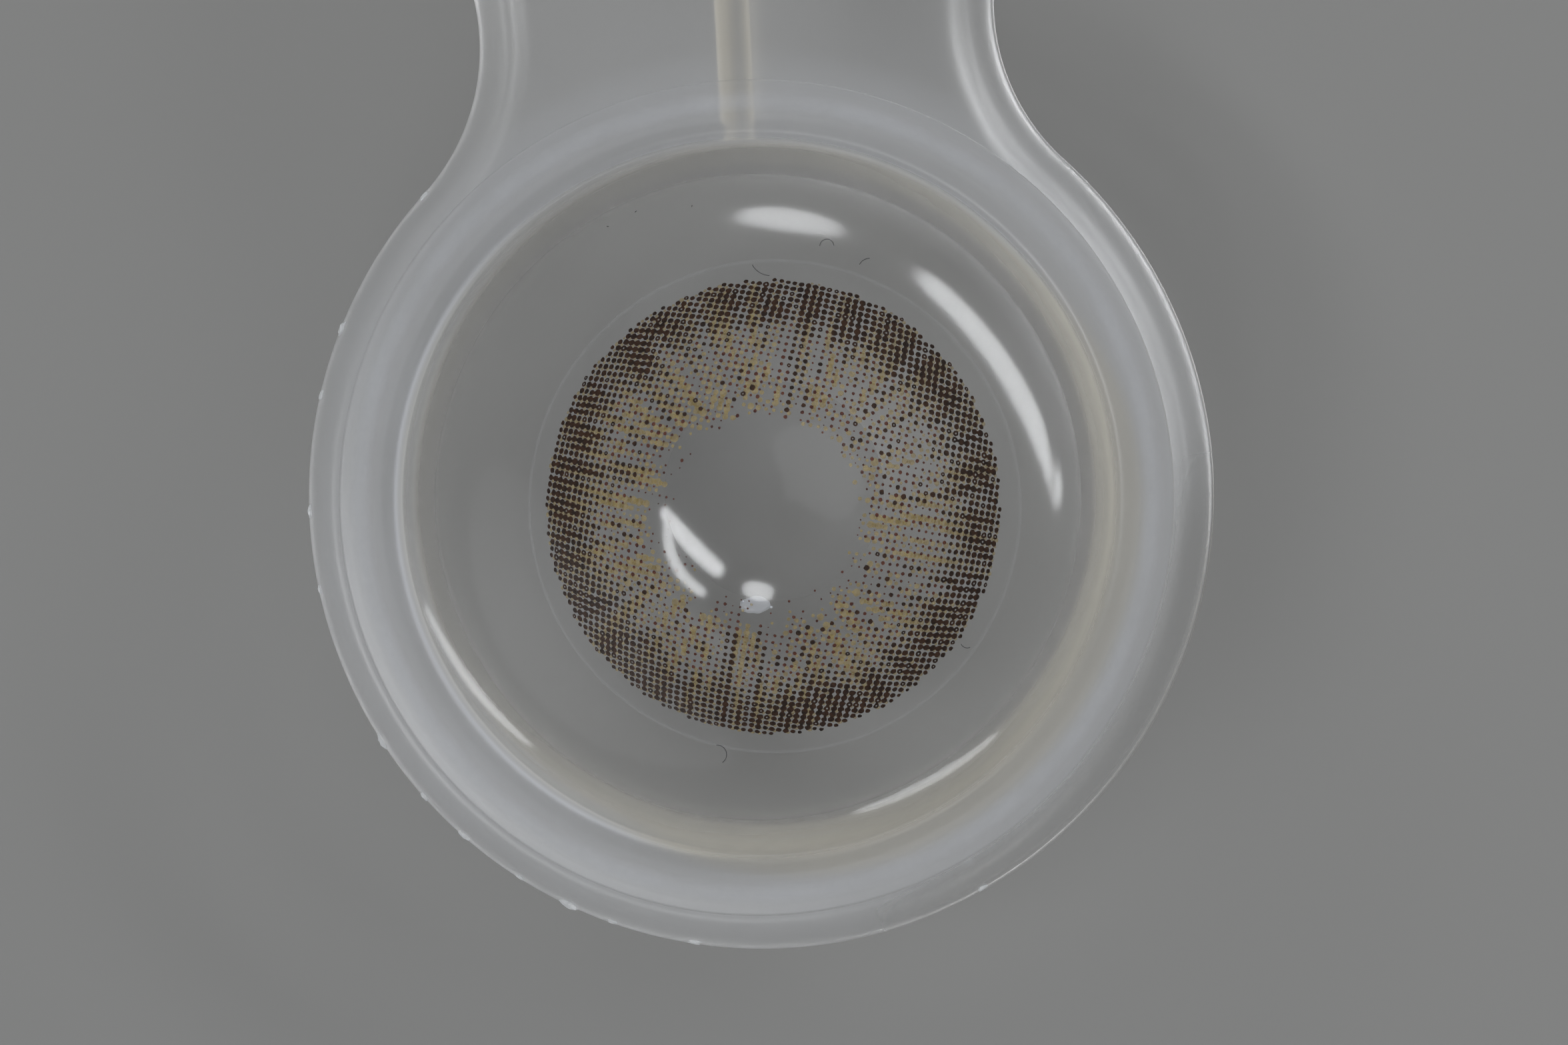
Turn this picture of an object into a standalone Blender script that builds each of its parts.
"""A soft tinted contact lens lying dome up in its opened blister cup.

The cup stands on its bowl foot at the origin. +Y runs to the end of the grip tab and +Z is up.
The lens is a sandwich: two hydrogel layers with three prints sealed between them. It lifts
straight up out of the bowl.
"""

import math

import bmesh
import bpy
from mathutils import Vector

MM = 0.001

# Bowl of the cup, its inside surface unless said otherwise
WALL = 0.70 * MM
FLOOR_CURVE = 12.0 * MM
FLANK_CURVE = 5.2 * MM
FLANK_END_RADIUS = 9.85 * MM
WALL_DRAFT = math.radians(8.0)
MOUTH_FILLET = 0.35 * MM
FOOT_RADIUS = 3.2 * MM

# Flange round the bowl and tab: flat plate, raised seal land, skirt rolled down round the edge
PLATE_TOP = 8.60 * MM
PLATE_THICK = 0.80 * MM
LAND_RISE = 0.20 * MM
LAND_OUTER_RADIUS = 11.75 * MM
LAND_CHAMFER = 0.08 * MM
BEAD_DEPTH = 0.12 * MM
SKIRT_RADIUS = 12.85 * MM
SKIRT_WIDTH = 1.05 * MM
SKIRT_DROP = 2.20 * MM
SKIRT_WALL = 0.60 * MM

# Grip tab: waisted neck, flared tail, rib and leg under it, ridges on it
WAIST_WIDTH = 14.6 * MM
NECK_RADIUS = 6.0 * MM
TAIL_FLARE = math.radians(14.0)
TAIL_CORNER = 2.5 * MM
TAB_REACH = 31.0 * MM
RIB_WIDTH = 0.80 * MM
RIB_DEPTH = 3.0 * MM
LEG_WIDTH = 13.0 * MM
LEG_THICK = 1.0 * MM
LEG_SETBACK = 3.2 * MM
EDGE_ROUND = 0.20 * MM
RIDGE_COUNT = 4
RIDGE_PITCH = 2.0 * MM
RIDGE_LENGTH = 9.0 * MM
RIDGE_WIDTH = 0.55 * MM
RIDGE_RISE = 0.25 * MM
RIDGE_SETBACK = 5.2 * MM

# Ring of heat-seal lacquer that the peeled foil left on the land
RESIDUE_INSET = 0.25 * MM
RESIDUE_WIDTH = 0.75 * MM
RESIDUE_THICK = 0.02 * MM
RESIDUE_GAP = 0.005 * MM

# Lens
LENS_DIAMETER = 14.2 * MM
BASE_CURVE = 8.6 * MM
CENTRE_THICK = 0.10 * MM
MIDDLE_THICK = 0.20 * MM
EDGE_THICK = 0.12 * MM
BACK_LAYER = 0.035 * MM
PRINT_COUNT = 3
PRINT_FILM = 0.006 * MM
PRINT_GAP = 0.003 * MM
CLEAR_MARGIN = 0.50 * MM
PUPIL_RADIUS = 2.6 * MM
LIMBAL_INNER_RADIUS = 5.35 * MM
BROWN_INNER_RADIUS = 4.1 * MM
HAZEL_INNER_RADIUS = 3.3 * MM
BROWN_EDGE_INSET = 0.5 * MM
HAZEL_EDGE_INSET = 1.0 * MM
STREAK_DEPTH = 0.6 * MM
STREAK_WAVES = ((7, 0.5), (13, 0.3), (23, 0.2))
LENS_SHIFT_X = 0.20 * MM
LENS_SHIFT_Y = -0.37 * MM
SEAT_GAP = 0.30 * MM

# How finely round shapes are cut
CUP_SEGMENTS = 72
OUTLINE_STEP = math.radians(5.0)
ARC_STEP = math.radians(8.0)
ROLL_STEPS = 5
FILLET_STEPS = 4
LENS_SEGMENTS = 60
PRINT_ROWS = 8
SAME_POINT = 1e-7

# Worked out from the sizes above
LAND_TOP = PLATE_TOP + LAND_RISE
PLATE_UNDER = PLATE_TOP - PLATE_THICK
RESIDUE_OUTER_RADIUS = LAND_OUTER_RADIUS - RESIDUE_INSET
RESIDUE_INNER_RADIUS = RESIDUE_OUTER_RADIUS - RESIDUE_WIDTH
LENS_RADIUS = LENS_DIAMETER / 2
PRINT_OUTER_RADIUS = LENS_RADIUS - CLEAR_MARGIN
FLANK_END = math.pi / 2 - WALL_DRAFT
FLANK_START = math.asin(
    (FLANK_END_RADIUS - FLANK_CURVE * math.sin(FLANK_END)) / (FLOOR_CURVE - FLANK_CURVE)
)
FRONT_BASE = BACK_LAYER + PRINT_GAP + PRINT_COUNT * (PRINT_FILM + PRINT_GAP)


def clear_scene():
    for obj in list(bpy.data.objects):
        bpy.data.objects.remove(obj, do_unlink=True)


def linear(channel):
    return channel / 12.92 if channel <= 0.04045 else ((channel + 0.055) / 1.055) ** 2.4


def finish(name, colour, roughness, alpha=1.0, transmission=0.0, ior=1.5):
    """A Principled material from an sRGB hex colour."""
    material = bpy.data.materials.new(name)
    material.use_nodes = True
    shader = material.node_tree.nodes["Principled BSDF"]
    rgb = [linear(int(colour[i : i + 2], 16) / 255) for i in (1, 3, 5)]
    shader.inputs["Base Color"].default_value = (*rgb, 1.0)
    shader.inputs["Roughness"].default_value = roughness
    shader.inputs["Metallic"].default_value = 0.0
    shader.inputs["Alpha"].default_value = alpha
    shader.inputs["Transmission Weight"].default_value = transmission
    shader.inputs["IOR"].default_value = ior
    material.diffuse_color = (*rgb, alpha)
    return material


def add_object(name, bm, material=None, parent=None):
    mesh = bpy.data.meshes.new(name)
    bmesh.ops.recalc_face_normals(bm, faces=bm.faces)
    bm.to_mesh(mesh)
    bm.free()
    mesh.shade_smooth()
    mesh.set_sharp_from_angle(angle=math.radians(35.0))
    obj = bpy.data.objects.new(name, mesh)
    bpy.context.scene.collection.objects.link(obj)
    if material:
        mesh.materials.append(material)
    if parent:
        obj.parent = parent
    return obj


def turned(name, profile, segments, closed, **links):
    """A solid turned round Z from (radius, height) points, a ring if its profile is closed."""
    bm = bmesh.new()
    points = [bm.verts.new((radius, 0.0, height)) for radius, height in profile]
    edges = [bm.edges.new(pair) for pair in zip(points, points[1:])]
    if closed:
        edges.append(bm.edges.new((points[-1], points[0])))
    bmesh.ops.spin(
        bm,
        geom=points + edges,
        cent=(0, 0, 0),
        axis=(0, 0, 1),
        angle=math.tau,
        steps=segments,
        use_merge=True,
    )
    bmesh.ops.remove_doubles(bm, verts=bm.verts, dist=SAME_POINT)
    return add_object(name, bm, **links)


def block(name, low, high, round_edges):
    """A box between two corners with every edge rounded."""
    low = Vector(low)
    high = Vector(high)
    bm = bmesh.new()
    bmesh.ops.create_cube(bm, size=1.0)
    for vert in bm.verts:
        vert.co = [low[i] + (vert.co[i] + 0.5) * (high[i] - low[i]) for i in range(3)]
    bmesh.ops.bevel(
        bm, geom=list(bm.edges), offset=round_edges, segments=2, profile=0.5, affect="EDGES"
    )
    return add_object(name, bm)


def shape_only(obj):
    """Marks an object as a shape that others use and that isn't a piece itself."""
    obj.hide_render = True
    obj.display_type = "WIRE"
    return obj


def combine(obj, other, operation):
    modifier = obj.modifiers.new(f"{operation.lower()} {other.name}", "BOOLEAN")
    modifier.operation = operation
    modifier.solver = "EXACT"
    modifier.object = shape_only(other)


def arc(start, end, step):
    """Angles from start to end, both included, no further apart than step."""
    count = max(1, math.ceil(abs(end - start) / step - 1e-9))
    return [start + (end - start) * i / count for i in range(count + 1)]


def bowl_height(radius):
    """Height of the bowl's inside surface above the foot, at this distance from its axis."""
    if radius <= FLOOR_CURVE * math.sin(FLANK_START):
        return WALL + FLOOR_CURVE - math.sqrt(FLOOR_CURVE**2 - radius**2)
    reach = FLOOR_CURVE - FLANK_CURVE
    centre_height = WALL + FLOOR_CURVE - reach * math.cos(FLANK_START)
    run = radius - reach * math.sin(FLANK_START)
    return centre_height - math.sqrt(FLANK_CURVE**2 - min(run, FLANK_CURVE) ** 2)


def bowl_profile(offset, top):
    """Floor arc, flank arc and drafted wall, from the axis up to height top, moved out by offset."""
    points = []
    for angle in arc(0.0, FLANK_START, ARC_STEP):
        radius = FLOOR_CURVE + offset
        height = WALL + FLOOR_CURVE - radius * math.cos(angle)
        points.append((radius * math.sin(angle), height))
    reach = FLOOR_CURVE - FLANK_CURVE
    centre = (reach * math.sin(FLANK_START), WALL + FLOOR_CURVE - reach * math.cos(FLANK_START))
    for angle in arc(FLANK_START, FLANK_END, ARC_STEP)[1:]:
        radius = FLANK_CURVE + offset
        points.append(
            (centre[0] + radius * math.sin(angle), centre[1] - radius * math.cos(angle))
        )
    radius, height = points[-1]
    points.append((radius + (top - height) * math.tan(WALL_DRAFT), top))
    return points


def outline():
    """Points and outward directions round the flange and tab, anticlockwise from above."""
    waist = WAIST_WIDTH / 2
    neck_x = waist + NECK_RADIUS
    neck_y = math.sqrt((SKIRT_RADIUS + NECK_RADIUS) ** 2 - neck_x**2)
    join = math.atan2(neck_y, neck_x)
    half = []
    for angle in arc(-math.pi / 2, join, OUTLINE_STEP):
        way = Vector((math.cos(angle), math.sin(angle)))
        half.append((way * SKIRT_RADIUS, way))
    for angle in arc(join - math.pi, -math.pi - TAIL_FLARE, ARC_STEP)[1:]:
        way = Vector((math.cos(angle), math.sin(angle)))
        half.append((Vector((neck_x, neck_y)) + way * NECK_RADIUS, -way))
    flare_start = half[-1][0]
    corner_y = TAB_REACH - TAIL_CORNER
    climb = (corner_y - flare_start.y) * math.sin(TAIL_FLARE) - TAIL_CORNER
    corner = Vector((flare_start.x + climb / math.cos(TAIL_FLARE), corner_y))
    for angle in arc(-TAIL_FLARE, math.pi / 2, 2 * ARC_STEP):
        way = Vector((math.cos(angle), math.sin(angle)))
        half.append((corner + way * TAIL_CORNER, way))
    flip = Vector((-1, 1))
    other_half = [(point * flip, way * flip) for point, way in reversed(half[1:])]
    return half + other_half


def flange_loops():
    """Inset from the outline and height of each loop, from the top of the plate to its underside."""
    edge = PLATE_TOP - SKIRT_DROP
    over = [
        (SKIRT_WIDTH * (1 - math.sin(a)), edge + SKIRT_DROP * math.cos(a))
        for a in arc(0.0, math.pi / 2, math.pi / 2 / ROLL_STEPS)
    ]
    drop = SKIRT_DROP - PLATE_THICK
    under = [
        (SKIRT_WALL + SKIRT_WIDTH * (1 - math.sin(a)), edge + drop * math.cos(a))
        for a in arc(math.pi / 2, 0.0, math.pi / 2 / (ROLL_STEPS - 1))
    ]
    return over + under


def make_flange():
    """The plate with its rolled skirt, closed over the bowl until its hole is cut."""
    bm = bmesh.new()
    edge_points = outline()
    loops = []
    for inset, height in flange_loops():
        loop = []
        for point, way in edge_points:
            place = point - way * inset
            loop.append(bm.verts.new((place.x, place.y, height)))
        loops.append(loop)
    for upper, lower in zip(loops, loops[1:]):
        for i in range(len(edge_points)):
            j = (i + 1) % len(edge_points)
            bm.faces.new((upper[i], lower[i], lower[j], upper[j]))
    bm.faces.new(loops[0])
    bm.faces.new(list(reversed(loops[-1])))
    return bm


def make_bowl_shape():
    """The bowl with its foot, its mouth fillet and the seal land round it."""
    fillet_start = LAND_TOP - MOUTH_FILLET * (1 - math.sin(WALL_DRAFT))
    inside = bowl_profile(0.0, fillet_start)
    mouth_radius = inside[-1][0]
    centre_radius = mouth_radius + MOUTH_FILLET * math.cos(WALL_DRAFT)
    fillet = [
        (
            centre_radius - MOUTH_FILLET * math.cos(angle),
            LAND_TOP - MOUTH_FILLET + MOUTH_FILLET * math.sin(angle),
        )
        for angle in arc(WALL_DRAFT, math.pi / 2, math.pi / 2 / FILLET_STEPS)[1:]
    ]
    bead_under = PLATE_UNDER - BEAD_DEPTH
    outside = bowl_profile(WALL, bead_under)
    foot_corner_height = WALL + FLOOR_CURVE - math.sqrt((FLOOR_CURVE + WALL) ** 2 - FOOT_RADIUS**2)
    outside = [(radius, height) for radius, height in outside if radius > FOOT_RADIUS]
    land = [
        (LAND_OUTER_RADIUS - LAND_CHAMFER, LAND_TOP),
        (LAND_OUTER_RADIUS, LAND_TOP - LAND_CHAMFER),
        (LAND_OUTER_RADIUS, bead_under),
    ]
    foot = [(FOOT_RADIUS, foot_corner_height), (FOOT_RADIUS, 0.0), (0.0, 0.0)]
    profile = inside + fillet + land + list(reversed(outside)) + foot
    return turned("bowl_shape", profile, CUP_SEGMENTS, closed=False)


def make_hole_shape():
    """Cuts the plate away over the bowl, to half way across the land."""
    radius = (RESIDUE_INNER_RADIUS + RESIDUE_OUTER_RADIUS) / 2
    profile = [
        (0.0, 0.0),
        (radius, 0.0),
        (radius, LAND_TOP + PLATE_THICK),
        (0.0, LAND_TOP + PLATE_THICK),
    ]
    return turned("hole_shape", profile, CUP_SEGMENTS, closed=False)


def make_rib_shape():
    start = bowl_profile(WALL, PLATE_UNDER)[-1][0] - WALL / 2
    leg = TAB_REACH - LEG_SETBACK
    low = (-RIB_WIDTH / 2, start, PLATE_UNDER - RIB_DEPTH)
    high = (RIB_WIDTH / 2, leg, PLATE_TOP - PLATE_THICK / 2)
    return block("rib_shape", low, high, EDGE_ROUND)


def make_leg_shape():
    back = TAB_REACH - LEG_SETBACK
    low = (-LEG_WIDTH / 2, back - LEG_THICK, 0.0)
    high = (LEG_WIDTH / 2, back, PLATE_TOP - PLATE_THICK / 2)
    return block("leg_shape", low, high, EDGE_ROUND)


def make_ridge_shape(number):
    middle = TAB_REACH - RIDGE_SETBACK - number * RIDGE_PITCH
    low = (-RIDGE_LENGTH / 2, middle - RIDGE_WIDTH / 2, PLATE_TOP - PLATE_THICK / 2)
    high = (RIDGE_LENGTH / 2, middle + RIDGE_WIDTH / 2, PLATE_TOP + RIDGE_RISE)
    return block(f"ridge_shape_{number + 1}", low, high, EDGE_ROUND)


def make_cup():
    clear_plastic = finish("moulded polypropylene", "#CDD3D6", 0.22, 0.55, 0.6, 1.49)
    cup = add_object("blister_cup", make_flange(), clear_plastic)
    combine(cup, make_hole_shape(), "DIFFERENCE")
    combine(cup, make_bowl_shape(), "UNION")
    combine(cup, make_rib_shape(), "UNION")
    combine(cup, make_leg_shape(), "UNION")
    for number in range(RIDGE_COUNT):
        combine(cup, make_ridge_shape(number), "UNION")
    return cup


def make_residue():
    low = LAND_TOP + RESIDUE_GAP
    high = low + RESIDUE_THICK
    profile = [
        (RESIDUE_INNER_RADIUS, low),
        (RESIDUE_OUTER_RADIUS, low),
        (RESIDUE_OUTER_RADIUS, high),
        (RESIDUE_INNER_RADIUS, high),
    ]
    lacquer = finish("peeled seal lacquer", "#D9DDDE", 0.6, 0.5)
    return turned("seal_residue", profile, CUP_SEGMENTS, closed=True, material=lacquer)


def lens_rows():
    """Radii at which every lens piece has a ring of points, so that their facets nest."""
    step = (PRINT_OUTER_RADIUS - PUPIL_RADIUS) / PRINT_ROWS
    printed = [PUPIL_RADIUS + step * i for i in range(PRINT_ROWS + 1)]
    return [0.0, PUPIL_RADIUS / 2, *printed, LENS_RADIUS]


def row_angle(radius):
    return math.asin(radius / (BASE_CURVE + EDGE_THICK))


def lens_point(radius, depth):
    """Distance from the lens axis and height above its rim, depth outside its back surface."""
    angle = row_angle(radius)
    reach = BASE_CURVE + depth
    return reach * math.sin(angle), reach * math.cos(angle) - BASE_CURVE * math.cos(
        row_angle(LENS_RADIUS)
    )


def lens_thickness(radius):
    """Thin in the middle, thick over the print, thin again at the rim."""
    if radius <= PUPIL_RADIUS:
        share = radius / PUPIL_RADIUS
        return CENTRE_THICK + (MIDDLE_THICK - CENTRE_THICK) * share**2 * (3 - 2 * share)
    if radius <= PRINT_OUTER_RADIUS:
        return MIDDLE_THICK
    share = (radius - PRINT_OUTER_RADIUS) / CLEAR_MARGIN
    return MIDDLE_THICK + (EDGE_THICK - MIDDLE_THICK) * share


def front_base(radius):
    """Inside of the front layer: it closes on the back layer where no print lies between them."""
    printed = PUPIL_RADIUS <= radius < PRINT_OUTER_RADIUS + SAME_POINT
    return FRONT_BASE if printed else BACK_LAYER + PRINT_GAP


def make_layer(name, inner_depth, outer_depth, material, axis):
    rows = lens_rows()
    inner = [lens_point(radius, inner_depth(radius)) for radius in rows]
    outer = [lens_point(radius, outer_depth(radius)) for radius in reversed(rows)]
    return turned(name, inner + outer, LENS_SEGMENTS, closed=False, material=material, parent=axis)


def streak(angle, phase):
    """How far a print's radial streaks reach at this angle, from -1 to 1."""
    return sum(share * math.sin(turns * (angle + phase)) for turns, share in STREAK_WAVES)


def make_print(name, level, inner_radius, edge_inset, phase, material, axis):
    """One ink as a thin film on the lens dome, its inner edge broken into radial streaks."""
    rows = lens_rows()
    first = rows.index(PUPIL_RADIUS)
    last = len(rows) - 2
    step = (PRINT_OUTER_RADIUS - PUPIL_RADIUS) / PRINT_ROWS
    outer_row = last - round(edge_inset / step)
    depth = BACK_LAYER + PRINT_GAP + level * (PRINT_FILM + PRINT_GAP)
    bm = bmesh.new()
    points = {}

    def point(row, sector):
        key = (row, sector % LENS_SEGMENTS)
        if key not in points:
            radius, height = lens_point(rows[row], depth)
            angle = math.tau * key[1] / LENS_SEGMENTS
            place = (radius * math.cos(angle), radius * math.sin(angle), height)
            points[key] = bm.verts.new(place)
        return points[key]

    for sector in range(LENS_SEGMENTS):
        reach = inner_radius + STREAK_DEPTH * streak(math.tau * sector / LENS_SEGMENTS, phase)
        start = first + round((reach - PUPIL_RADIUS) / step)
        start = min(max(start, first), outer_row - 1)
        for row in range(start, outer_row):
            corners = (
                point(row, sector),
                point(row + 1, sector),
                point(row + 1, sector + 1),
                point(row, sector + 1),
            )
            bm.faces.new(corners)
    grown = bmesh.ops.extrude_face_region(bm, geom=list(bm.faces))
    centre = Vector((0, 0, -BASE_CURVE * math.cos(row_angle(LENS_RADIUS))))
    outer_verts = [item for item in grown["geom"] if isinstance(item, bmesh.types.BMVert)]
    growth = (BASE_CURVE + depth + PRINT_FILM) / (BASE_CURVE + depth)
    for vert in outer_verts:
        vert.co = centre + (vert.co - centre) * growth
    return add_object(name, bm, material, axis)


def make_lens():
    rim_reach = LENS_RADIUS + math.hypot(LENS_SHIFT_X, LENS_SHIFT_Y)
    axis = bpy.data.objects.new("lens_axis", None)
    bpy.context.scene.collection.objects.link(axis)
    axis.location = (LENS_SHIFT_X, LENS_SHIFT_Y, bowl_height(rim_reach) + SEAT_GAP)
    hydrogel = finish("cast hydrogel", "#E4EAEA", 0.05, 0.3, 0.95, 1.41)
    near_black = finish("near-black brown print ink", "#2B1C16", 0.5)
    red_brown = finish("red-brown print ink", "#54312A", 0.5)
    ochre = finish("ochre print ink", "#A68649", 0.5)
    make_layer("lens_back_layer", lambda r: 0.0, lambda r: BACK_LAYER, hydrogel, axis)
    make_print("hazel_iris_print", 0, HAZEL_INNER_RADIUS, HAZEL_EDGE_INSET, 0.7, ochre, axis)
    make_print("brown_iris_print", 1, BROWN_INNER_RADIUS, BROWN_EDGE_INSET, 2.1, red_brown, axis)
    make_print("limbal_ring_print", 2, LIMBAL_INNER_RADIUS, 0.0, 4.0, near_black, axis)
    make_layer("lens_front_layer", front_base, lens_thickness, hydrogel, axis)
    return axis


clear_scene()
make_cup()
make_residue()
make_lens()
